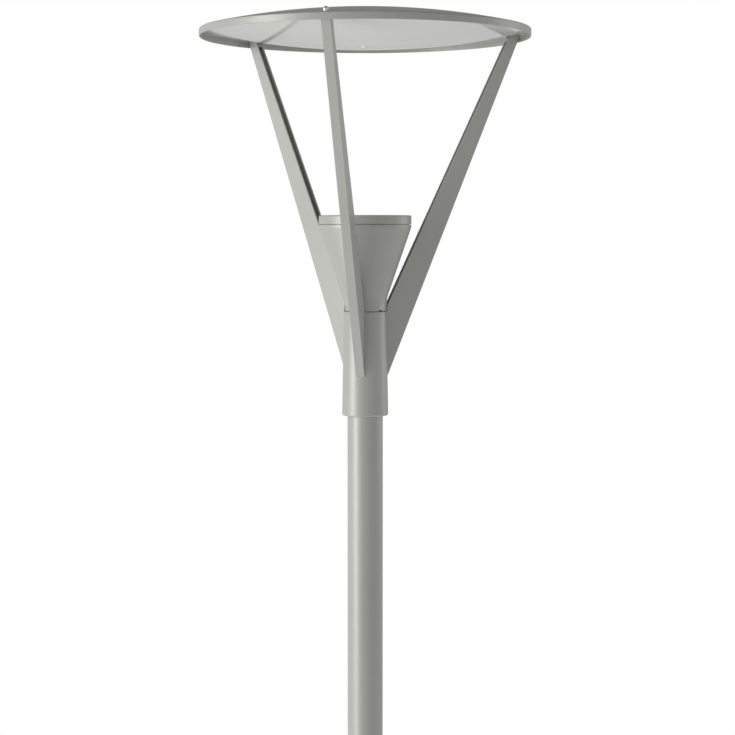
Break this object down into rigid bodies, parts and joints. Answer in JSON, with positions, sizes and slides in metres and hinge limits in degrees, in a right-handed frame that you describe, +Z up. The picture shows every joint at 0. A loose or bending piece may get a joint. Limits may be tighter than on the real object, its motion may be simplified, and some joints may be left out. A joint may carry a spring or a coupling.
{
  "type": "street lamp post",
  "caption": "Pole-top street lamp: a conical uplight between channel arms lights a white dish under a shallow domed canopy, on a stepped steel post with a service door.",
  "frame": {"origin": "centre of the base plate's underside, on the pole's axis at ground level", "axes": "+Z up the pole, -Y out of the service door"},
  "size_m": [0.555, 0.555, 3.2805],
  "materials": {
    "paint": "satin",
    "zinc": "matt",
    "steel": "satin",
    "bright_steel": "polished",
    "white_enamel": "gloss",
    "bowl_metal": "polished",
    "seal_rubber": "matt",
    "cable_sheath": "matt",
    "earth_sheath": "satin",
    "pane_glass": "gloss",
    "bulb_glass": "gloss",
    "white_ceramic": "satin",
    "grey_plastic": "matt",
    "black_plastic": "matt",
    "stud_brass": "satin"
  },
  "bodies": {
    "post": {"base_plate": "paint", "base_tube": "paint", "reducer": "paint", "centering_ring": "zinc", "pole_tube": "paint", "door_bars": "zinc", "gear_bar": "zinc", "breaker": "grey_plastic", "terminal_block": "grey_plastic", "link_wires": "cable_sheath", "earth_wire": "earth_sheath", "earth_stud": "stud_brass", "spigot_body": "paint", "set_screws": "steel", "arm_1": "paint", "arm_2": "paint", "arm_3": "paint", "arm_screws": "steel", "canopy": "paint", "canopy_screws": "bright_steel", "canopy_reflector": "white_enamel", "reflector_post": "zinc", "reflector_screw": "white_enamel", "housing_gasket": "seal_rubber", "lamp_housing": "paint", "housing_screws": "steel", "gear_tray": "zinc", "ballast": "grey_plastic", "head_terminal": "white_ceramic", "mast_cable": "cable_sheath", "lamp_lead": "cable_sheath", "lamp_holder": "white_ceramic", "lamp_bowl": "bowl_metal"},
    "glass_unit": {"glass": "pane_glass", "glass_gasket": "seal_rubber"},
    "ring": {"glass_ring": "paint"},
    "lamp": {"lamp_base": "white_ceramic", "lamp_bulb": "bulb_glass", "lamp_burner": "white_ceramic"},
    "door": {"service_door": "paint"},
    "upper_screw": {"door_screw_upper": "steel"},
    "lower_screw": {"door_screw_lower": "steel"},
    "toggle": {"breaker_toggle": "black_plastic"}
  },
  "joints": [
    {"name": "glass_lift", "type": "slide", "parent": "post", "child": "glass_unit", "axis": [0, 0, 1], "range_m": [0, 0.2]},
    {"name": "ring_turn", "type": "hinge", "parent": "glass_unit", "child": "ring", "pos_m": [0, 0, 2.932], "axis": [0, 0, 1], "continuous": true},
    {"name": "lamp_pull", "type": "slide", "parent": "post", "child": "lamp", "axis": [0, 0, 1], "range_m": [0, 0.012]},
    {"name": "door_pull", "type": "slide", "parent": "post", "child": "door", "axis": [0, -1, 0], "range_m": [0, 0.06]},
    {"name": "upper_screw_turn", "type": "hinge", "parent": "door", "child": "upper_screw", "pos_m": [0, -0.05, 0.772], "axis": [0, -1, 0], "range_deg": [0, 1440]},
    {"name": "lower_screw_turn", "type": "hinge", "parent": "door", "child": "lower_screw", "pos_m": [0, -0.05, 0.528], "axis": [0, -1, 0], "range_deg": [0, 1440]},
    {"name": "toggle_turn", "type": "hinge", "parent": "post", "child": "toggle", "pos_m": [0, -0.00732, 0.68], "axis": [1, 0, 0], "range_deg": [0, 80]}
  ]
}
